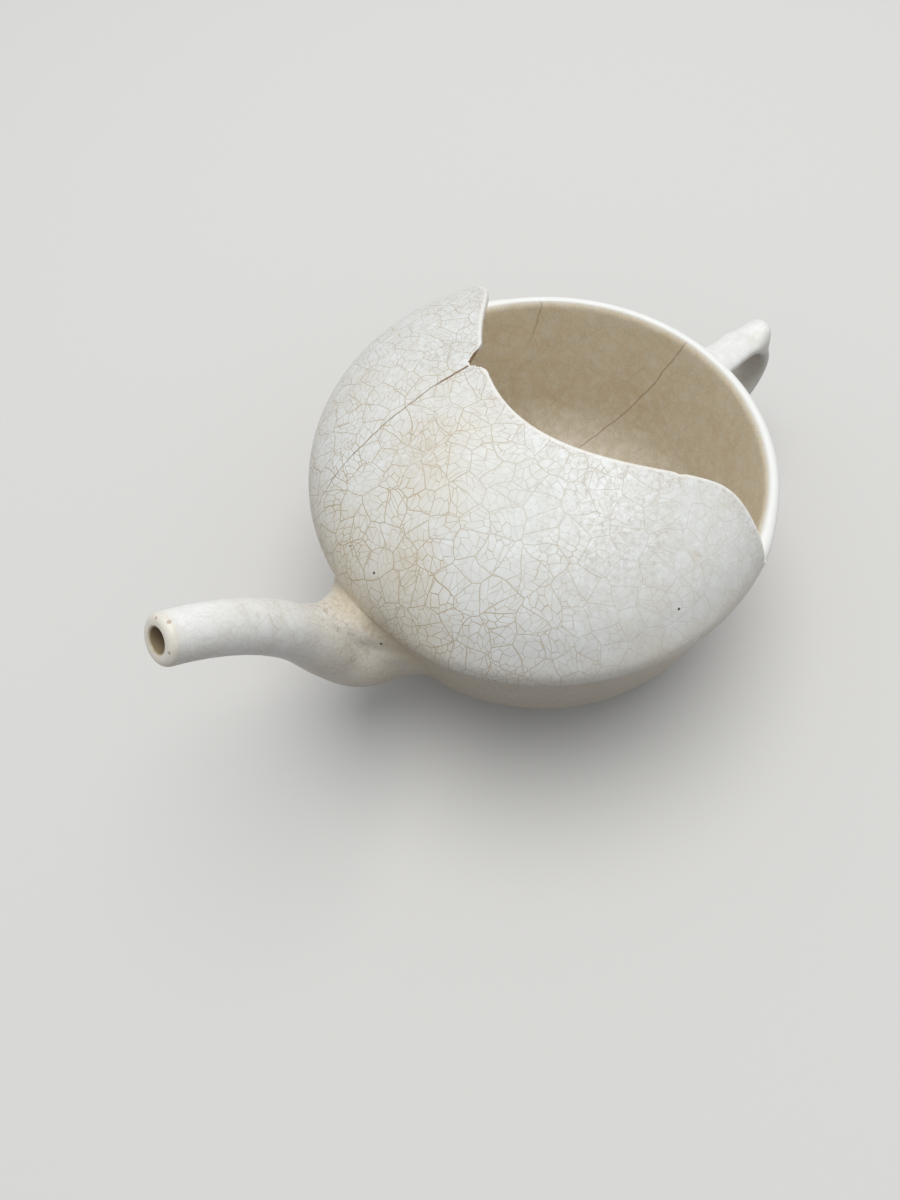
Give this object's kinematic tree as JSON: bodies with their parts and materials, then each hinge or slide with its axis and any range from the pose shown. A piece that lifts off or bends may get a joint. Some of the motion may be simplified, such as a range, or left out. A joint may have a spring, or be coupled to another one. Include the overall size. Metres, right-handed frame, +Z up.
{
  "type": "invalid feeder",
  "caption": "Half-covered round earthenware feeding cup for the sick, with an upswept drinking spout and a small strap handle opposite, on a flat foot.",
  "frame": {"origin": "middle of the flat foot, on the table", "axes": "+X from the bowl's axis towards the spout, +Z up, the handle on the -X side"},
  "size_m": [0.16, 0.1, 0.0741],
  "materials": {
    "bowl_glaze": "crazed, yellowed inside",
    "cover_glaze": "crazed satin gloss",
    "spout_glaze": "satin gloss",
    "handle_glaze": "satin gloss",
    "slip_glaze": "glazed over, dirty in the crease"
  },
  "bodies": {
    "root": {"bowl": "bowl_glaze", "half_cover": "cover_glaze", "spout": "spout_glaze", "handle": "handle_glaze", "cover_slip_joint": "slip_glaze", "spout_slip_joint": "slip_glaze", "handle_upper_slip_joint": "slip_glaze", "handle_lower_slip_joint": "slip_glaze"}
  },
  "joints": []
}
